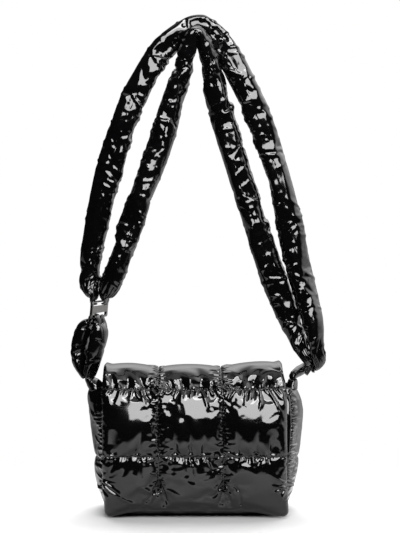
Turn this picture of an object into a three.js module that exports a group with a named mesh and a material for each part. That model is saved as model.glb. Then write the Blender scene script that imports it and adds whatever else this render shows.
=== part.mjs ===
// A small quilted messenger bag in glossy padded nylon, hanging by its doubled strap.
// Two fat padded strands run from one flat metal ring, over the hanging point, to the other ring.
// A short padded loop ties each ring to a gathered tab on top of a side gusset.
// The body is a hollow box of five padded panels, and a long quilted flap closes its mouth and front.
// Lengths are in millimetres. The pieces are modelled with the floor at height 0, the front towards -Y,
// and the whole bag is then lowered so that the origin lies where the strap hangs.
import * as THREE from "three";
import { mergeVertices } from "three/addons/utils/BufferGeometryUtils.js";

const { lerp, smoothstep } = THREE.MathUtils;

// Driving dimensions
const SEAM_GAP = 0.3;         // clearance between pieces that are sewn or hooked together
const HANG_HEIGHT = 586.5;    // floor to the underside of the inner strand at its top
const LINING_DEPTH = 3;       // wall behind the stitched face of a body panel
const FLOOR = -3;             // underside of the base, just below the flap's lower corners
const BODY_FOOT = -0.5;       // height of the lower edge of the front, back and side panels
const FRONT_TOP = 150;        // height of the front panel's upper edge, under the flap
const BACK_TOP = 155.7;       // height of the back panel's upper edge, where the flap is sewn on
const GUSSET_TOP = 158;
const GUSSET_SEAM = 68;       // height of the stitch line across a gusset
const GUSSET_EDGE = 3;        // gusset wall at its stitched edges
const GUSSET_PAD = 5;         // extra gusset wall in the middle of a puff
const BASE_LENGTH = 202;
const BASE_THICK = 6;
const FRONT_PUFF = 4;         // padding standing out of the stitched face
const BACK_PUFF = 8;
const FLAP_LEFT = -116.5;
const FLAP_RIGHT = 113;
const FLAP_EDGE = 3.5;        // flap thickness at its hems and stitch lines
const FLAP_COLUMNS = [0, 0.306, 0.656, 1];   // vertical stitch lines, as shares of the flap's width
const HEM_ARCH = 6;           // how far the middle of the lower hem hangs above its corners
const HEM_SHIFT = 2.5;        // how far the lower hem is pulled towards the right
const RING_LENGTH = 40;
const RING_THICK = 3.4;
const RING_ROD = 2;           // thin end bars of a ring
const RING_SLOT = 4.6;
const RING_PLATE = 9;         // wide middle bar of a ring
const RING_BEVEL = 0.5;
const STRAP_SIDES = 10;
const STRAP_STEP = 11;        // length of one facet along a strand

// The body's outline, level by level: half width at the seams, stitched faces of the front and back panels,
// and how far the left and right gussets bulge from the middle
const bodyAt = smoothTable("z", [
  { z: -3, half: 109, front: -38, back: 38, left: 114, right: 113 },
  { z: 25, half: 112, front: -42, back: 42, left: 124, right: 124 },
  { z: 60, half: 115, front: -44, back: 44, left: 131, right: 131.5 },
  { z: 100, half: 118, front: -43, back: 43, left: 132.5, right: 134.5 },
  { z: 130, half: 119, front: -37, back: 38, left: 136.5, right: 136.5 },
  { z: 150, half: 117, front: -30, back: 33, left: 140, right: 132 },
  { z: 160, half: 115, front: -26, back: 30, left: 138, right: 127 },
]);

// The inner face of the flap in side view, from the lower hem over the top to the back seam
const flapAt = smoothTable("run", [
  { run: 0, y: -44.5, z: -1.5 },
  { run: 0.5, y: -50.5, z: 40 },
  { run: 1, y: -52.5, z: 76 },
  { run: 1.5, y: -50, z: 118 },
  { run: 2, y: -39.5, z: 156 },
  { run: 2.25, y: -27, z: 169.5 },
  { run: 2.5, y: -2.5, z: 176 },
  { run: 2.75, y: 22, z: 171.5 },
  { run: 3, y: 30.5, z: 156 },
]);
const FLAP_ROWS = [0, 1, 2, 3];              // horizontal stitch lines, as runs of the table above
const FLAP_PUFFS = [11, 13, 6];              // padding of the lower row, the upper row and the top roll

// Where a ring sits: its middle, the way its bars run, and the way the long strands leave it
const RINGS = {
  left: ringFrame([-125.4, 0, 256.5], [0.46, 0.89, 0], [0.12, 0, 1]),
  right: ringFrame([150.4, 0, 189.6], [0.545, 0, 0.838], [0, -1, 0]),
};
const TWIST_HEIGHT = 60;      // height above a ring where a strand has turned from its bars to front-to-back

// Strands, from the left ring to the right ring: the middle of the tube, and its half sizes front to back
// (wide) and in the plane of the loop (thick). Narrow rows are the creases that the padding folds at.
const OUTER_STRAND = [
  { x: -129.5, y: 2.5, z: 272.5, wide: 13.5, thick: 4 },
  { x: -136, y: 7, z: 280, wide: 13, thick: 8 },
  { x: -139.8, y: 9, z: 291, wide: 13, thick: 11 },
  { x: -139, y: 9, z: 306, wide: 13, thick: 11 },
  { x: -128.5, y: 6, z: 360, wide: 14.5, thick: 14 },
  { x: -105, y: 3, z: 452, wide: 14.5, thick: 14 },
  { x: -70.5, y: 0, z: 543, wide: 14.5, thick: 12.8 },
  { x: -54.5, y: 0, z: 570, wide: 14, thick: 11.8 },
  { x: -32.5, y: 0, z: 599, wide: 15.5, thick: 12.3 },
  { x: -18, y: 0, z: 611.5, wide: 16, thick: 10.8 },
  { x: 0, y: 0, z: 617, wide: 16, thick: 10.6 },
  { x: 18.5, y: 0, z: 610.5, wide: 16, thick: 10.6 },
  { x: 32.3, y: 0, z: 594, wide: 15.5, thick: 11.3 },
  { x: 57.5, y: 0, z: 543, wide: 14.5, thick: 13.5 },
  { x: 94, y: 0, z: 452, wide: 14.5, thick: 14 },
  { x: 118, y: -4, z: 360, wide: 15, thick: 15 },
  { x: 131.8, y: -9, z: 298, wide: 15, thick: 15 },
  { x: 140.3, y: -14, z: 266, wide: 14, thick: 13.5 },
  { x: 147, y: -21, z: 237, wide: 14, thick: 12.5 },
  { x: 155, y: -28, z: 206, wide: 12, thick: 7.5 },
  { x: 155.8, y: -18, z: 187, wide: 14, thick: 4.5 },
];
const INNER_STRAND = [
  { x: -119.5, y: -4, z: 272.5, wide: 13.5, thick: 3.6 },
  { x: -117, y: -6, z: 281, wide: 13, thick: 7 },
  { x: -107, y: -6, z: 298, wide: 13.5, thick: 13 },
  { x: -97, y: -6, z: 324, wide: 13.5, thick: 12.8 },
  { x: -85.5, y: -5, z: 360, wide: 14.5, thick: 14 },
  { x: -52.8, y: -2, z: 452, wide: 14.5, thick: 14 },
  { x: -21.8, y: 0, z: 543, wide: 14.5, thick: 13 },
  { x: -12.3, y: 0, z: 577, wide: 15, thick: 10.8 },
  { x: -8.5, y: 0, z: 592, wide: 15.5, thick: 9.6 },
  { x: 0, y: 0, z: 596, wide: 16, thick: 9.5 },
  { x: 8.5, y: 0, z: 592, wide: 15.5, thick: 9.6 },
  { x: 13, y: 0, z: 577, wide: 15, thick: 10.8 },
  { x: 20.2, y: 0, z: 543, wide: 14.5, thick: 13.5 },
  { x: 48.2, y: 0, z: 452, wide: 14.5, thick: 14 },
  { x: 76.3, y: 0, z: 360, wide: 14.5, thick: 14 },
  { x: 109.5, y: -1, z: 268, wide: 14.5, thick: 14 },
  { x: 121, y: -2, z: 237, wide: 13.5, thick: 12.5 },
  { x: 134.5, y: -13, z: 207, wide: 12, thick: 6.5 },
  { x: 143.5, y: -15.5, z: 191.5, wide: 12, thick: 3.5 },
];
// One layer of the left loop, from the ring down to its tab: distance out of the ring's plane, sway towards
// the left, and half sizes
const LEFT_LOOP = [
  { drop: 17, out: 6.2, sway: 1, wide: 14, thick: 3.5 },
  { drop: 26, out: 9, sway: 5, wide: 14, thick: 8 },
  { drop: 43, out: 12.3, sway: 9, wide: 14, thick: 11 },
  { drop: 60, out: 11, sway: 10.5, wide: 13, thick: 9.5 },
  { drop: 77, out: 6.2, sway: 8.5, wide: 12, thick: 5.2 },
  { drop: 88, out: 2.4, sway: 5.6, wide: 10, thick: 1.6 },
];
// The right loop is one band: it leaves the tab as a twisted neck and curls into the ring from behind
const RIGHT_LOOP = [
  { x: 122.6, y: 0, z: 166.6, wide: 8, thick: 3.6 },
  { x: 122.7, y: 0.2, z: 169.5, wide: 7.5, thick: 4.2 },
  { x: 128.5, y: 9, z: 174.5, wide: 8, thick: 5 },
  { x: 136, y: 19, z: 176, wide: 9, thick: 5 },
  { x: 147, y: 27, z: 182, wide: 12, thick: 4.5 },
  { x: 155, y: 18, z: 186, wide: 14, thick: 3.5 },
];
// The gathered tabs, from the gusset up to the loop's end
const TABS = {
  left: [
    { x: -133.5, y: 0, z: 158.5, wide: 15, thick: 4 },
    { x: -133.6, y: 0, z: 160, wide: 14, thick: 4.5 },
    { x: -138, y: 0, z: 164.5, wide: 12, thick: 5 },
    { x: -138.9, y: 0, z: 166.4, wide: 11, thick: 4.8 },
    { x: -139, y: 0, z: 167.8, wide: 10.5, thick: 4.6 },
  ],
  right: [
    { x: 122.8, y: 0, z: 158.5, wide: 15, thick: 4 },
    { x: 122.8, y: 0, z: 160, wide: 14, thick: 4.5 },
    { x: 122.6, y: 0, z: 163, wide: 12, thick: 5.5 },
    { x: 122.6, y: 0, z: 166, wide: 9, thick: 4.6 },
  ],
};

const nylon = new THREE.MeshStandardMaterial({ color: 0x0b0b0c, roughness: 0.12, metalness: 0 });
const gunmetal = new THREE.MeshStandardMaterial({ color: 0x6e6a68, roughness: 0.3, metalness: 1 });

// A table with named columns, as a function that gives every column at any value of its key column
function smoothTable(key, rows) {
  const columns = Object.keys(rows[0]).filter((name) => name !== key);
  const keys = rows.map((row) => row[key]);
  const values = rows.flatMap((row) => columns.map((name) => row[name]));
  const spline = new THREE.CubicInterpolant(keys, values, columns.length, new Float64Array(columns.length));
  return (at) => {
    const result = spline.evaluate(at);
    return Object.fromEntries(columns.map((name, i) => [name, result[i]]));
  };
}

// A share of a panel's width or height, mapped on its stitch lines: the place, and the fullness of the padding
function stitched(share, seams) {
  const cells = seams.length - 1;
  const cell = Math.min(Math.floor(share * cells + 1e-6), cells - 1);
  const eased = (1 - Math.cos(Math.PI * (share * cells - cell))) / 2;
  const fullness = Math.pow(Math.max(Math.sin(Math.PI * eased), 0), 0.6);
  return { at: lerp(seams[cell], seams[cell + 1], eased), fullness, cell };
}

function closedGeometry(geometry) {
  geometry.deleteAttribute("normal");
  geometry.deleteAttribute("uv");
  const merged = mergeVertices(geometry, 1e-4);
  merged.computeVertexNormals();
  return merged;
}

// A padded panel: a block with a grid on its two broad sides, bent by place(across, up, isOuter)
function paddedPanel(columns, rows, place) {
  const geometry = new THREE.BoxGeometry(1, 1, 1, columns, rows, 1);
  const position = geometry.attributes.position;
  for (let i = 0; i < position.count; i++) {
    const isOuter = position.getZ(i) > 0;
    const point = place(position.getX(i) + 0.5, position.getY(i) + 0.5, isOuter);
    position.setXYZ(i, point.x, point.y, point.z);
  }
  return closedGeometry(geometry);
}

// A stuffed tube with flat ends: a cylinder bent along rows of { centre, across, wide, thick }
function stuffedTube(rows, sides, step) {
  const spine = new THREE.CatmullRomCurve3(rows.map((row) => row.centre));
  const last = rows.length - 1;
  const stations = [0];
  for (let i = 0; i < last; i++) {
    const stretch = rows[i].centre.distanceTo(rows[i + 1].centre);
    const facets = Math.max(2, Math.round(stretch / step));
    for (let j = 1; j <= facets; j++) stations.push(i + j / facets);
  }
  const geometry = new THREE.CylinderGeometry(1, 1, 1, sides, stations.length - 1);
  const position = geometry.attributes.position;
  for (let i = 0; i < position.count; i++) {
    const station = stations[Math.round((0.5 - position.getY(i)) * (stations.length - 1))];
    const row = Math.min(Math.floor(station), last - 1);
    const share = station - row;
    const centre = spine.getPoint(station / last);
    const tangent = spine.getTangent(station / last);
    const across = rows[row].across.clone().lerp(rows[row + 1].across, share);
    across.addScaledVector(tangent, -across.dot(tangent)).normalize();
    const out = new THREE.Vector3().crossVectors(tangent, across);
    centre.addScaledVector(across, position.getX(i) * lerp(rows[row].wide, rows[row + 1].wide, share));
    centre.addScaledVector(out, position.getZ(i) * lerp(rows[row].thick, rows[row + 1].thick, share));
    position.setXYZ(i, centre.x, centre.y, centre.z);
  }
  return closedGeometry(geometry);
}

function ringFrame(middle, barsRun, strandsLeave) {
  const centre = new THREE.Vector3(...middle);
  const along = new THREE.Vector3(...barsRun).normalize();
  const up = new THREE.Vector3(...strandsLeave);
  up.addScaledVector(along, -up.dot(along)).normalize();
  const out = new THREE.Vector3().crossVectors(along, up);
  const at = (outwards, upwards) =>
    centre.clone().addScaledVector(out, outwards).addScaledVector(up, upwards);
  return { centre, along, up, out, at };
}

// A ring: a flat plate with rounded corners and a slot above and below its wide middle bar
function ringGeometry() {
  const height = RING_PLATE + 2 * (RING_SLOT + RING_ROD);
  const slotLength = RING_LENGTH - 2 * RING_THICK;
  const plate = roundedRectangle(new THREE.Shape(), 0, RING_LENGTH, height, 2.5);
  const slotMiddle = (RING_PLATE + RING_SLOT) / 2;
  for (const side of [-1, 1]) {
    plate.holes.push(roundedRectangle(new THREE.Path(), side * slotMiddle, slotLength, RING_SLOT, 1));
  }
  const geometry = new THREE.ExtrudeGeometry(plate, {
    depth: RING_THICK - 2 * RING_BEVEL,
    bevelThickness: RING_BEVEL,
    bevelSize: RING_BEVEL,
    bevelOffset: -RING_BEVEL,
    bevelSegments: 1,
    curveSegments: 3,
  });
  geometry.translate(0, 0, RING_BEVEL - RING_THICK / 2);
  return closedGeometry(geometry);
}

function roundedRectangle(path, middle, length, height, radius) {
  const x = length / 2 - radius;
  const y = height / 2 - radius;
  path.absarc(x, middle + y, radius, 0, Math.PI / 2);
  path.absarc(-x, middle + y, radius, Math.PI / 2, Math.PI);
  path.absarc(-x, middle - y, radius, Math.PI, 1.5 * Math.PI);
  path.absarc(x, middle - y, radius, 1.5 * Math.PI, 2 * Math.PI);
  path.closePath();
  return path;
}

// Rows of a flattened strap from the middle of a ring's slot, round the thin bar and away from the ring.
// Side is the face of the ring that it leaves by, and end is 1 for the strands and -1 for a loop.
function lapRows(ring, side, end) {
  const slot = (RING_PLATE + RING_SLOT) / 2;
  const bar = RING_PLATE / 2 + RING_SLOT + RING_ROD / 2;
  return [
    { out: SEAM_GAP / 2, up: slot, wide: 14.5, thick: 1.5 },
    { out: 2.2, up: slot, wide: 14.5, thick: 1.5 },
    { out: 4.8, up: slot + 2, wide: 14.5, thick: 1.5 },
    { out: 5.4, up: bar + 2.4, wide: 14.5, thick: 2 },
  ].map(({ out, up, wide, thick }) => ({
    centre: ring.at(side * out, end * up), across: ring.along, wide, thick,
  }));
}

// Table rows in the bag's own frame, with the tube's wide axis given by across(row, share of the table)
function placedRows(table, across) {
  return table.map((row, i) => ({
    centre: new THREE.Vector3(row.x, row.y, row.z),
    across: across(row, i / (table.length - 1)),
    wide: row.wide,
    thick: row.thick,
  }));
}

// The outer strand (side 1) leaves the left ring by its back face and the right ring by its lower face
function strandGeometry(table, side) {
  const depth = new THREE.Vector3(0, 1, 0);
  const rows = placedRows(table, (row) => {
    const ring = row.x < 0 ? RINGS.left : RINGS.right;
    return ring.along.clone().lerp(depth, smoothstep(row.z - ring.centre.z, 0, TWIST_HEIGHT));
  });
  const leftLap = lapRows(RINGS.left, -side, 1);
  const rightLap = lapRows(RINGS.right, side, 1).reverse();
  return stuffedTube([...leftLap, ...rows, ...rightLap], STRAP_SIDES, STRAP_STEP);
}

function leftLoopGeometry() {
  const ring = RINGS.left;
  const layer = (side) => LEFT_LOOP.map(({ drop, out, sway, wide, thick }) => {
    const centre = ring.at(side * out, -drop);
    centre.x -= sway;
    centre.y += ring.up.y * drop;   // straight below the ring, front to back
    return { centre, across: ring.along, wide, thick };
  });
  const outerLap = lapRows(ring, -1, -1).slice(1).reverse();
  const innerLap = lapRows(ring, 1, -1).slice(1);
  return stuffedTube(
    [...layer(-1).reverse(), ...outerLap, ...innerLap, ...layer(1)], STRAP_SIDES, STRAP_STEP,
  );
}

function rightLoopGeometry() {
  const ring = RINGS.right;
  const depth = new THREE.Vector3(0, -1, 0);
  const neck = placedRows(RIGHT_LOOP, (row, share) => depth.clone().lerp(ring.along, share));
  const outerLap = lapRows(ring, 1, -1).slice(1).reverse();
  const innerLap = lapRows(ring, -1, -1).slice(1);
  return stuffedTube([...neck, ...outerLap, ...innerLap], STRAP_SIDES, STRAP_STEP);
}

function tabGeometry(table) {
  return stuffedTube(placedRows(table, () => new THREE.Vector3(0, 1, 0)), STRAP_SIDES, STRAP_STEP);
}

// The front panel faces -Y (facing -1) and the back panel +Y (facing 1)
function broadPanelGeometry(facing, top, puff) {
  const seams = [BODY_FOOT, 76, top];
  const face = facing < 0 ? "front" : "back";
  return paddedPanel(15, 12, (across, up, isOuter) => {
    const column = stitched(across, FLAP_COLUMNS);
    const row = stitched(up, seams);
    const level = bodyAt(row.at);
    const out = isOuter ? 0.5 + puff * column.fullness * row.fullness : -LINING_DEPTH;
    const x = -facing * lerp(-level.half, level.half, column.at);
    return { x, y: level[face] + facing * out, z: row.at };
  });
}

// A gusset fills the side between the front and back panels and bulges outwards in two puffs
function gussetGeometry(side) {
  const sideName = side < 0 ? "left" : "right";
  const seams = [BODY_FOOT, GUSSET_SEAM, GUSSET_TOP];
  return paddedPanel(8, 14, (across, up, isOuter) => {
    const depth = side > 0 ? across : 1 - across;
    const row = stitched(up, seams);
    const level = bodyAt(row.at);
    const clear = LINING_DEPTH + SEAM_GAP;
    const bulge = Math.pow(Math.sin(Math.PI * depth), 0.7);
    const edge = level.half - 1.5;
    const pad = GUSSET_PAD * bulge * row.fullness;
    const outer = lerp(edge, level[sideName] - GUSSET_PAD, bulge) + pad;
    const x = isOuter ? outer : outer - GUSSET_EDGE - pad;
    return { x: side * x, y: lerp(level.front + clear, level.back - clear, depth), z: row.at };
  });
}

function basePanelGeometry() {
  const level = bodyAt(FLOOR);
  const clear = LINING_DEPTH + SEAM_GAP;
  const front = level.front + clear;
  const back = level.back - clear;
  return new THREE.BoxGeometry(BASE_LENGTH, back - front, BASE_THICK)
    .translate(0, (front + back) / 2, FLOOR + BASE_THICK / 2);
}

function flapGeometry() {
  return paddedPanel(18, 21, (across, up, isOuter) => {
    const column = stitched(across, FLAP_COLUMNS);
    const row = stitched(up, FLAP_ROWS);
    const step = 0.01;
    const here = flapAt(row.at);
    const before = flapAt(Math.max(row.at - step, 0));
    const after = flapAt(Math.min(row.at + step, 3));
    const length = Math.hypot(after.y - before.y, after.z - before.z);
    const thick = isOuter ? FLAP_EDGE + FLAP_PUFFS[row.cell] * column.fullness * row.fullness : 0;
    const nearHem = 1 - smoothstep(row.at, 0, 0.6);
    const arch = HEM_ARCH * Math.sqrt(Math.max(Math.sin(Math.PI * column.at), 0)) * nearHem;
    return {
      x: lerp(FLAP_LEFT, FLAP_RIGHT, column.at) + HEM_SHIFT * nearHem,
      y: here.y - (thick * (after.z - before.z)) / length,
      z: here.z + (thick * (after.y - before.y)) / length + arch,
    };
  });
}

function piece(name, geometry, material) {
  const mesh = new THREE.Mesh(geometry, material);
  mesh.name = name;
  return mesh;
}

function ringPiece(name, frame) {
  const mesh = piece(name, ringGeometry(), gunmetal);
  mesh.position.copy(frame.centre);
  mesh.quaternion.setFromRotationMatrix(new THREE.Matrix4().makeBasis(frame.along, frame.up, frame.out));
  return mesh;
}

const body = new THREE.Group();
body.add(
  piece("front_panel", broadPanelGeometry(-1, FRONT_TOP, FRONT_PUFF), nylon),
  piece("back_panel", broadPanelGeometry(1, BACK_TOP, BACK_PUFF), nylon),
  piece("base_panel", basePanelGeometry(), nylon),
  piece("gusset_left", gussetGeometry(-1), nylon),
  piece("gusset_right", gussetGeometry(1), nylon),
  piece("flap", flapGeometry(), nylon),
  piece("tab_left", tabGeometry(TABS.left), nylon),
  piece("tab_right", tabGeometry(TABS.right), nylon),
);

const strap = new THREE.Group();
strap.add(
  piece("loop_left", leftLoopGeometry(), nylon),
  piece("loop_right", rightLoopGeometry(), nylon),
  ringPiece("ring_left", RINGS.left),
  ringPiece("ring_right", RINGS.right),
  piece("strap_inner", strandGeometry(INNER_STRAND, -1), nylon),
  piece("strap_outer", strandGeometry(OUTER_STRAND, 1), nylon),
);

const bag = new THREE.Group();
bag.add(body, strap);
bag.position.z = -HANG_HEIGHT;

const part = new THREE.Group();
part.add(bag);
export default part;
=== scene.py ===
import math

import bmesh
import bpy
import numpy as np
from mathutils import Matrix, Vector
from numpy.random import default_rng


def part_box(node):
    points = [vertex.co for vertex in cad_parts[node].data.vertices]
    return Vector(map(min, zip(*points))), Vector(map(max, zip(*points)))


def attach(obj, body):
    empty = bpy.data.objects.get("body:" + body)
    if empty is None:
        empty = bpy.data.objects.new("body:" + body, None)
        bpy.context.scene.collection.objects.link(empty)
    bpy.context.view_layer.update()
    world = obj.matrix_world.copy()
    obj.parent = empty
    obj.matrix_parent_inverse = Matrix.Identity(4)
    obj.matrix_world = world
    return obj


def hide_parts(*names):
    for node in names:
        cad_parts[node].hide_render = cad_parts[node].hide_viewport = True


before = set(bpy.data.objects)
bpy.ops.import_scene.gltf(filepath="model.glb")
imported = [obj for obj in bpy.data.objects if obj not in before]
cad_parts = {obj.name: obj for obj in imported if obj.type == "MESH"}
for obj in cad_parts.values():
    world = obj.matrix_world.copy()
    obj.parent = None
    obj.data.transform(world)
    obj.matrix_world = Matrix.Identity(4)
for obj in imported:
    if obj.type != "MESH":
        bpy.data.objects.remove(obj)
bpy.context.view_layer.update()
scene = bpy.context.scene

# Studio: a white paper floor that fades into a white room, a soft box and a narrow strip light above and in
# front of the bag, and a soft box behind it for the floor. The side of the room where the camera stands is
# dark, so the glossy cloth has something black to mirror.
MM = 0.001
FLOOR_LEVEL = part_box("base_panel")[0].z
FLOOR_SIZE = (3.0, 2.4)
FLOOR_MIDDLE = (0.0, 0.05)
# The paper's own grey, then a paler grey painted on it in front of the bag: painted light, a pool of light
# that makes the floor mirrored in the flap brighter
FLOOR_GREY, FLOOR_PAINTED_LIGHT = (0.37, 0.37, 0.37, 1.0), (0.72, 0.72, 0.72, 1.0)
# How bright the parts of the room are
WALL_WHITE, WALL_UPPER, ROOM_DARK = 1.0, 1.6, 0.010
CEILING, FAR_FLOOR = 0.8, 0.35
WALL_BEHIND = 0.7  # share of its light that the wall lacks straight behind the bag
WALL_LEAN, WALL_RISE = 1.0, 0.6  # how far the white wall reaches round to the right and overhead
# Where each begins and where it is full: on the floor in metres, in the room as part of a unit vector
# Painted light: where the paler paint in front of the bag begins and where it is full
FLOOR_PAINTED_LIGHT_EDGE = (-0.18, -0.42)
FLOOR_BACK = (0.05, 0.32)
FLOOR_RIM = (0.60, 0.76)
WALL_TOP = (0.995, 0.80)
WALL_SIDES = (0.34, 0.98)
WALL_BEHIND_EDGE = (0.72, 1.0)
WALL_UPPER_EDGE = (0.0, 0.45)
CEILING_EDGE = (0.84, 1.0)
FAR_FLOOR_EDGE = (-0.05, -0.15)
FAR_FLOOR_DEPTH = (0.0, 0.4)
# Soft boxes: name, place, what it is aimed at, size and watts
SOFT_BOXES = (
    ("front_box", (0.12, -0.82, FLOOR_LEVEL + 0.90), (0.03, 0.0, FLOOR_LEVEL + 0.24), (0.76, 0.74), 17.6),
    ("strip_box", (0.12, -0.62, FLOOR_LEVEL + 1.12), (0.03, 0.0, FLOOR_LEVEL + 0.24), (0.66, 0.10), 2.0),
    ("back_box", (0.0, 0.40, FLOOR_LEVEL + 0.98), (0.0, -0.15, FLOOR_LEVEL), (1.20, 0.80), 42.0),
)
CAMERA_DISTANCE = 2.2
CAMERA_ELEVATION = math.radians(4.0)
CAMERA_AIM = Vector((0.0037, 0.0, FLOOR_LEVEL + 0.314))
CAMERA_LENS = 116.4


class Shade:
    """One socket of a node tree. Sums on it add Math nodes, and node() adds any other node."""

    def __init__(self, tree, socket=None):
        self.tree, self.socket = tree, socket

    def node(self, kind, inputs=None, output=0, **settings):
        made = self.tree.nodes.new("ShaderNode" + kind)
        for name, value in settings.items():
            setattr(made, name, value)
        for name, value in (inputs or {}).items():
            if isinstance(value, Shade):
                self.tree.links.new(value.socket, made.inputs[name])
            else:
                made.inputs[name].default_value = value
        return Shade(self.tree, made.outputs[output] if made.outputs else None)

    def maths(self, operation, first, second):
        return self.node("Math", {0: first, 1: second}, operation=operation)

    def __add__(self, other):
        return self.maths("ADD", self, other)

    def __sub__(self, other):
        return self.maths("SUBTRACT", self, other)

    def __rsub__(self, other):
        return self.maths("SUBTRACT", other, self)

    def __mul__(self, other):
        return self.maths("MULTIPLY", self, other)

    __radd__, __rmul__ = __add__, __mul__

    def ease(self, low, high):
        """0 up to the first value, 1 from the second, and smooth between them."""
        return self.node("MapRange", {"Value": self, "From Min": low, "From Max": high},
                         interpolation_type="SMOOTHSTEP")

    def blend(self, first, second):
        """The first colour where this is 0, the second where it is 1."""
        return self.node("Mix", {0: self, 6: first, 7: second}, 2, data_type="RGBA")


def new_material(name):
    """A node material without nodes, and a Shade to start its nodes from."""
    material = bpy.data.materials.new(name)
    material.use_nodes = True
    material.node_tree.nodes.clear()
    return material, Shade(material.node_tree)


def add_object(name, mesh_tool, material):
    """A finished bmesh as a smooth-shaded object of the scene."""
    mesh = bpy.data.meshes.new(name)
    for face in mesh_tool.faces:
        face.smooth = True
    mesh_tool.to_mesh(mesh)
    mesh_tool.free()
    mesh.materials.append(material)
    made = bpy.data.objects.new(name, mesh)
    scene.collection.objects.link(made)
    return made


floor_paper, start = new_material("floor_paper")
coords = start.node("TexCoord", output="Object")
behind = start.node("SeparateXYZ", {"Vector": coords}, "Y")
far = start.node("VectorMath", {0: coords}, "Value", operation="LENGTH")
# The paper is painted paler in front of the bag: painted light, not the paper's own colour
paper_with_painted_light = behind.ease(*FLOOR_PAINTED_LIGHT_EDGE).blend(FLOOR_GREY, FLOOR_PAINTED_LIGHT)
paper = start.node("BsdfDiffuse", {"Color": paper_with_painted_light})
clear = start.node("BsdfTransparent")
shown = (1.0 - behind.ease(*FLOOR_BACK)) * (1.0 - far.ease(*FLOOR_RIM))
faded = start.node("MixShader", {0: shown, 1: clear, 2: paper})
start.node("OutputMaterial", {"Surface": faded})
sweep = bmesh.new()
bmesh.ops.create_grid(sweep, x_segments=4, y_segments=4, size=0.5)
bmesh.ops.scale(sweep, vec=(*FLOOR_SIZE, 1.0), verts=sweep.verts)
bmesh.ops.translate(sweep, vec=(*FLOOR_MIDDLE, FLOOR_LEVEL), verts=sweep.verts)
floor = add_object("floor", sweep, floor_paper)

world = bpy.data.worlds.new("white_room")
world.use_nodes = True
world.node_tree.nodes.clear()
start = Shade(world.node_tree)
way = start.node("TexCoord", output="Generated")
depth_way = start.node("SeparateXYZ", {"Vector": way}, "Y")
height_way = start.node("SeparateXYZ", {"Vector": way}, "Z")
side_way = start.node("SeparateXYZ", {"Vector": way}, "X")
to_wall = depth_way + side_way * WALL_LEAN + height_way * WALL_RISE
walls = to_wall.ease(*WALL_SIDES) * height_way.ease(*WALL_TOP)
walls = walls * (1.0 - depth_way.ease(*WALL_BEHIND_EDGE) * WALL_BEHIND)
room = walls * (height_way.ease(*WALL_UPPER_EDGE) * WALL_UPPER + WALL_WHITE) + ROOM_DARK
room = room + height_way.ease(*CEILING_EDGE) * CEILING
far_floor = height_way.ease(*FAR_FLOOR_EDGE) * depth_way.ease(*FAR_FLOOR_DEPTH) * FAR_FLOOR
room = start.maths("MAXIMUM", room, far_floor)
seen = start.node("LightPath", output="Is Camera Ray")
strength = start.node("Mix", {0: seen, 2: room, 3: 1.0}, data_type="FLOAT")
glow = start.node("Background", {"Color": (1.0, 1.0, 1.0, 1.0), "Strength": strength})
start.node("OutputWorld", {"Surface": glow})
scene.world = world
scene.view_settings.view_transform = "Standard"

for name, place, target, size, watts in SOFT_BOXES:
    soft_box = bpy.data.lights.new(name, "AREA")
    soft_box.shape = "RECTANGLE"
    soft_box.size, soft_box.size_y = size
    soft_box.energy = watts
    stand = bpy.data.objects.new(name, soft_box)
    stand.location = place
    stand.rotation_euler = (Vector(target) - Vector(place)).to_track_quat("-Z", "Y").to_euler()
    stand.visible_camera = False
    stand.visible_glossy = name != "back_box"
    scene.collection.objects.link(stand)

camera = bpy.data.objects.new("camera", bpy.data.cameras.new("camera"))
camera.data.lens = CAMERA_LENS
camera.location = CAMERA_AIM + CAMERA_DISTANCE * Vector(
    (0.0, -math.cos(CAMERA_ELEVATION), math.sin(CAMERA_ELEVATION)))
camera.rotation_euler = (math.pi / 2 - CAMERA_ELEVATION, 0.0, 0.0)
scene.collection.objects.link(camera)
scene.camera = camera

# Flap: two layers of thin coated nylon over down filling, quilted in three columns and three rows. It is sewn
# to the top of the back, rolls over the mouth and hangs down the front. The sewing thread pulls the glossy
# cloth into puckers along every stitch line, and most along the one under the roll.
PATTERN_LIFT = 3.0  # the sewing pattern starts this far above the floor
ZERO_LEVEL = FLOOR_LEVEL / MM + PATTERN_LIFT
FLAP_LEFT, FLAP_RIGHT = -119.0, 113.0
FLAP_EDGE = 3.5
FLAP_COLUMNS = (0.0, 0.306, 0.656, 1.0)
FLAP_CELLS_ACROSS = (24, 28, 28)
FLAP_CELLS_UP = (27, 29, 38)
# Rows of the flap from the hem: height of the padding, how square it stands, and how low it has sunk
FLAP_PUFFS = ((6.3, 0.36, 1.5), (10.0, 0.95, 0.75), (6.0, 0.9, 1.0))
FLAP_SIDE_POWER = 0.5
LEFT_DOME, LEFT_DOME_GAIN = 0.7, 0.6  # the padding is thinner towards the left side
FLAP_CORNER, FLAP_ROUND, FLAP_RIM = 7.0, 3.5, 0.2
HEM_ARCH, HEM_SHIFT, HEM_REACH = 7.0, 2.5, 0.6
HEM_LEFT, HEM_RIGHT = 0.2, 0.26  # shares of the width over which the hem rises to its arch
# Runs from the hem over which the roll begins and ends, and by how much it is narrower
ROLL_BEGINS, ROLL_ENDS, ROLL_NARROW = (1.7, 2.4), (2.6, 3.0), 4.5
# How far the ends of the roll stand up and flare, and the shares of the width where that begins
RIGHT_RISE, LEFT_RISE, END_FLARE = 5.0, 3.0, 4.5
RIGHT_FROM, LEFT_FROM, FLARE_FROM = 0.62, 0.3, 0.45
# Slack of the cloth: all over, beside upright and level seams, and how many cells it reaches from them
SLACK_ALL, SLACK_UPRIGHT, SLACK_LEVEL, SLACK_REACH = 0.004, 0.02, 0.008, 4.0
ROLL_SLACK, ROLL_TIGHT_FROM = 0.15, 2.08


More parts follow.
